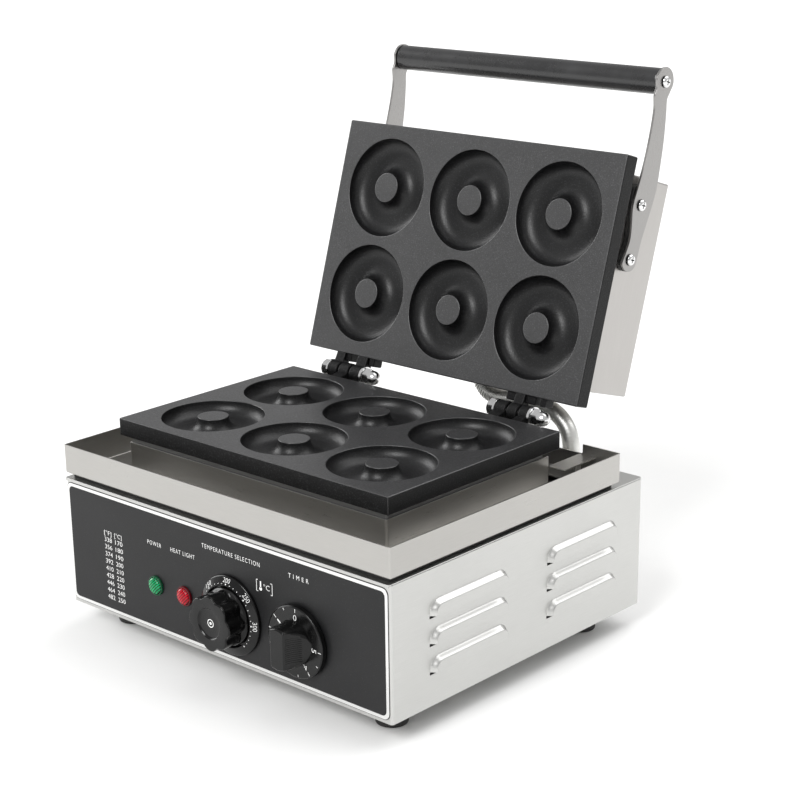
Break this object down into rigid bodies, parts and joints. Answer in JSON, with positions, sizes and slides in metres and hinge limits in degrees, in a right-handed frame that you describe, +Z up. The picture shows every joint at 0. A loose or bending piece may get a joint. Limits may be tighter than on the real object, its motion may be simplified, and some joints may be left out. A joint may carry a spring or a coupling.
{
  "type": "donut maker",
  "caption": "Countertop electric ring-donut maker: steel base with front control panel and drip tray, moulded non-stick plates, hinged lid held open, loop handle and metal conduit.",
  "frame": {"origin": "on the table, under the centre of the bounding box of the rest pose, with the lid open on its stop", "axes": "+X to the right seen from the front, +Y from the control panel towards the hinge, +Z up"},
  "size_m": [0.369, 0.4172, 0.4439],
  "materials": {
    "casing_steel": "horizontally brushed stainless sheet, satin",
    "tray_steel": "plain stainless sheet, satin",
    "housing_steel": "matt dark grey paint",
    "panel_black": "satin black with white printed scales",
    "non_stick": "grey speckled non-stick coating on cast aluminium, satin",
    "cover_steel": "satin stainless sheet",
    "arm_steel": "satin stainless sheet",
    "black_plastic": "semi-gloss black phenolic plastic",
    "rubber": "matt black",
    "screw_steel": "bright plated",
    "conduit_steel": "galvanised strip, dull silver",
    "heater_steel": "heat-dulled stainless tube",
    "fibre": "pressed mineral fibre",
    "green_lens": "clear green",
    "red_lens": "clear red",
    "nylon": "natural nylon",
    "black_nylon": "moulded, matt black",
    "brass": "bare copper and brass",
    "wire": "woven glass sleeving"
  },
  "bodies": {
    "base": {"base_casing": "casing_steel", "top_deck": "casing_steel", "bottom_plate": "casing_steel", "drip_tray": "tray_steel", "tray_bracket": "tray_steel", "lower_housing": "housing_steel", "control_panel": "panel_black", "thermostat_dial": "panel_black", "lower_plate": "non_stick", "foot_front_left": "rubber", "foot_front_right": "rubber", "foot_rear_left": "rubber", "foot_rear_right": "rubber", "deck_screw_left": "screw_steel", "deck_screw_right": "screw_steel", "hinge_bolt_left": "screw_steel", "hinge_bolt_right": "screw_steel", "hinge_washer_left": "screw_steel", "hinge_washer_right": "screw_steel", "hinge_nut_left": "screw_steel", "hinge_nut_right": "screw_steel", "conduit": "conduit_steel", "conduit_nut_lower": "conduit_steel", "lower_heater": "heater_steel", "lower_insulation": "fibre", "power_lamp": "green_lens", "heat_lamp": "red_lens", "power_lamp_body": "nylon", "heat_lamp_body": "nylon", "terminal_block": "nylon", "cable_gland": "black_nylon", "gland_nut": "black_nylon", "timer_body": "black_nylon", "thermostat_body": "brass", "thermostat_bulb": "brass", "thermostat_capillary": "brass", "wire_supply": "wire", "wire_timer": "wire"},
    "thermostat": {"thermostat_knob": "black_plastic", "thermostat_shaft": "screw_steel"},
    "timer": {"timer_knob": "black_plastic", "timer_shaft": "screw_steel"},
    "lid": {"upper_plate": "non_stick", "upper_cover": "cover_steel", "upper_heater": "heater_steel", "upper_insulation": "fibre", "conduit_nut_upper": "conduit_steel", "arm_spacer_left": "black_plastic", "arm_spacer_right": "black_plastic", "handle_arm_left": "arm_steel", "handle_arm_right": "arm_steel", "handle_grip": "black_plastic", "grip_rod": "screw_steel", "grip_screw_left": "screw_steel", "grip_screw_right": "screw_steel", "arm_screw_left_upper": "screw_steel", "arm_screw_left_lower": "screw_steel", "arm_screw_right_upper": "screw_steel", "arm_screw_right_lower": "screw_steel"}
  },
  "joints": [
    {"name": "lid_hinge", "type": "hinge", "parent": "base", "child": "lid", "pos_m": [0, 0.06586, 0.178], "axis": [1, 0, 0], "range_deg": [0, 107.5], "deforming": ["conduit"]},
    {"name": "thermostat_knob_turn", "type": "hinge", "parent": "base", "child": "thermostat", "pos_m": [0.0155, -0.18344, 0.061], "axis": [0, 1, 0], "range_deg": [0, 272]},
    {"name": "timer_knob_turn", "type": "hinge", "parent": "base", "child": "timer", "pos_m": [0.089, -0.18344, 0.061], "axis": [0, 1, 0], "range_deg": [0, 270], "stiffness_Nm_per_rad": 0.004}
  ]
}
